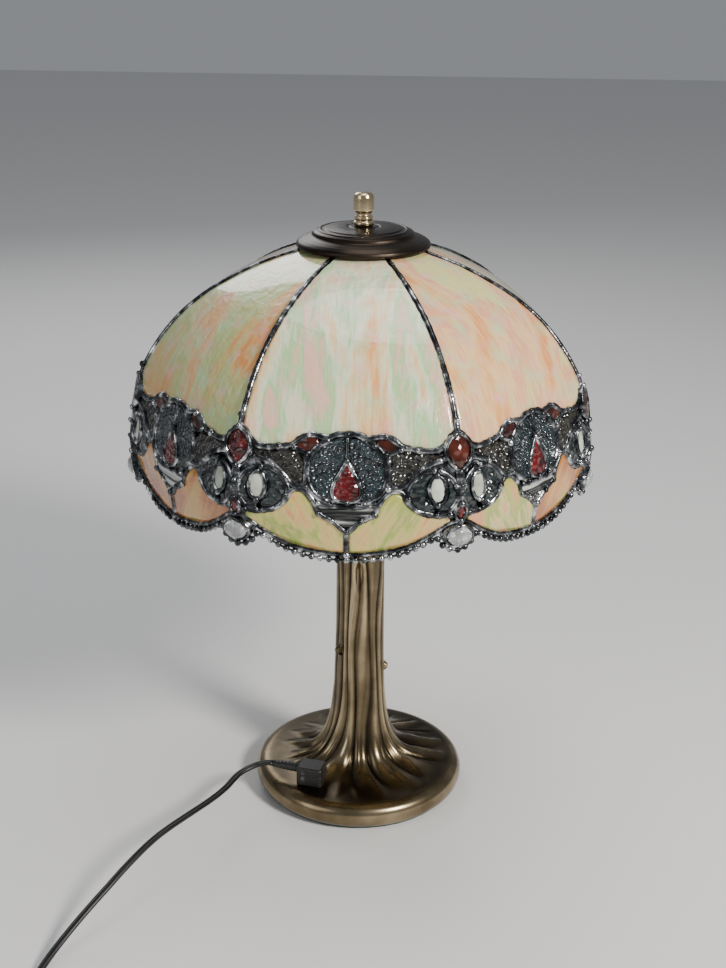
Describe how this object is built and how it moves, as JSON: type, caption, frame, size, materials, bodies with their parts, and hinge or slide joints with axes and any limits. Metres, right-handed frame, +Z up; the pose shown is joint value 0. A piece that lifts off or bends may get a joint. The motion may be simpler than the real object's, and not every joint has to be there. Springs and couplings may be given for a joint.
{
  "type": "stained glass table lamp",
  "caption": "Leaded opalescent glass dome shade with a jewelled band and scalloped rim, on a cast tree-trunk base, with harp, socket, bulb and cord.",
  "frame": {"origin": "centre of the felt pad's underside, on the lamp's axis", "axes": "+Z up along the lamp's axis; the middle of the shade's front panel faces -Y"},
  "size_m": [0.3591, 0.5117, 0.4602],
  "materials": {
    "antique_bronze": "satin antique bronze over a zinc casting",
    "dark_bronze": "dark bronze, polished",
    "brass": "polished brass",
    "steel": "zinc plated",
    "cast_iron": "rough",
    "lead": "solder with a dark patina",
    "felt": "felt",
    "phenolic": "moulded",
    "cord_black": "satin",
    "bulb_metal": "bright",
    "bulb_glass": "frosted",
    "opal_glass": "iridescent opalescent",
    "streaky_glass": "streaky opalescent",
    "band_glass": "ruby, smoke and hammered clear pieces",
    "clear_glass": "clear pressed"
  },
  "bodies": {
    "root": {"felt_pad": "felt", "base_casting": "antique_bronze", "base_weight": "cast_iron", "pipe_washer": "steel", "pipe_locknut": "steel", "lamp_pipe": "steel", "inner_lead": "cord_black", "harp_saddle": "brass", "harp": "brass", "socket_cap": "brass", "socket_shell": "brass", "socket_liner": "phenolic", "cord_clamp": "phenolic", "strain_relief": "cord_black", "cord": "cord_black", "cord_coil": "cord_black", "cord_tie": "phenolic", "plug": "cord_black"},
    "switch": {"switch_key": "phenolic"},
    "bulb": {"bulb_base": "bulb_metal", "bulb_glass": "bulb_glass"},
    "shade_seat": {"shade_seat": "brass"},
    "shade": {"shade_leading": "lead", "panel_1": "opal_glass", "band_glass_1": "band_glass", "scallop_left_1": "streaky_glass", "scallop_right_1": "streaky_glass", "cabochon_1": "clear_glass", "panel_2": "opal_glass", "band_glass_2": "band_glass", "scallop_left_2": "streaky_glass", "scallop_right_2": "streaky_glass", "cabochon_2": "clear_glass", "panel_3": "opal_glass", "band_glass_3": "band_glass", "scallop_left_3": "streaky_glass", "scallop_right_3": "streaky_glass", "cabochon_3": "clear_glass", "panel_4": "opal_glass", "band_glass_4": "band_glass", "scallop_left_4": "streaky_glass", "scallop_right_4": "streaky_glass", "cabochon_4": "clear_glass", "panel_5": "opal_glass", "band_glass_5": "band_glass", "scallop_left_5": "streaky_glass", "scallop_right_5": "streaky_glass", "cabochon_5": "clear_glass", "panel_6": "opal_glass", "band_glass_6": "band_glass", "scallop_left_6": "streaky_glass", "scallop_right_6": "streaky_glass", "cabochon_6": "clear_glass", "panel_7": "opal_glass", "band_glass_7": "band_glass", "scallop_left_7": "streaky_glass", "scallop_right_7": "streaky_glass", "cabochon_7": "clear_glass"},
    "cap": {"cap": "dark_bronze"},
    "finial": {"finial": "brass"}
  },
  "joints": [
    {"name": "switch_turn", "type": "hinge", "parent": "root", "child": "switch", "pos_m": [0, -0.02, 0.2753], "axis": [0, -1, 0], "continuous": true},
    {"name": "bulb_turn", "type": "hinge", "parent": "root", "child": "bulb", "pos_m": [0, 0, 0.3], "axis": [0, 0, 1], "range_deg": [0, 1080]},
    {"name": "shade_swivel", "type": "hinge", "parent": "root", "child": "shade_seat", "pos_m": [0, 0, 0.415], "axis": [0, 0, 1], "continuous": true},
    {"name": "shade_lift", "type": "slide", "parent": "shade_seat", "child": "shade", "axis": [0, 0, 1], "range_m": [0, 0.09]},
    {"name": "cap_lift", "type": "slide", "parent": "shade", "child": "cap", "axis": [0, 0, 1], "range_m": [0, 0.03]},
    {"name": "finial_turn", "type": "hinge", "parent": "cap", "child": "finial", "pos_m": [0, 0, 0.445], "axis": [0, 0, 1], "range_deg": [0, 1800]}
  ]
}
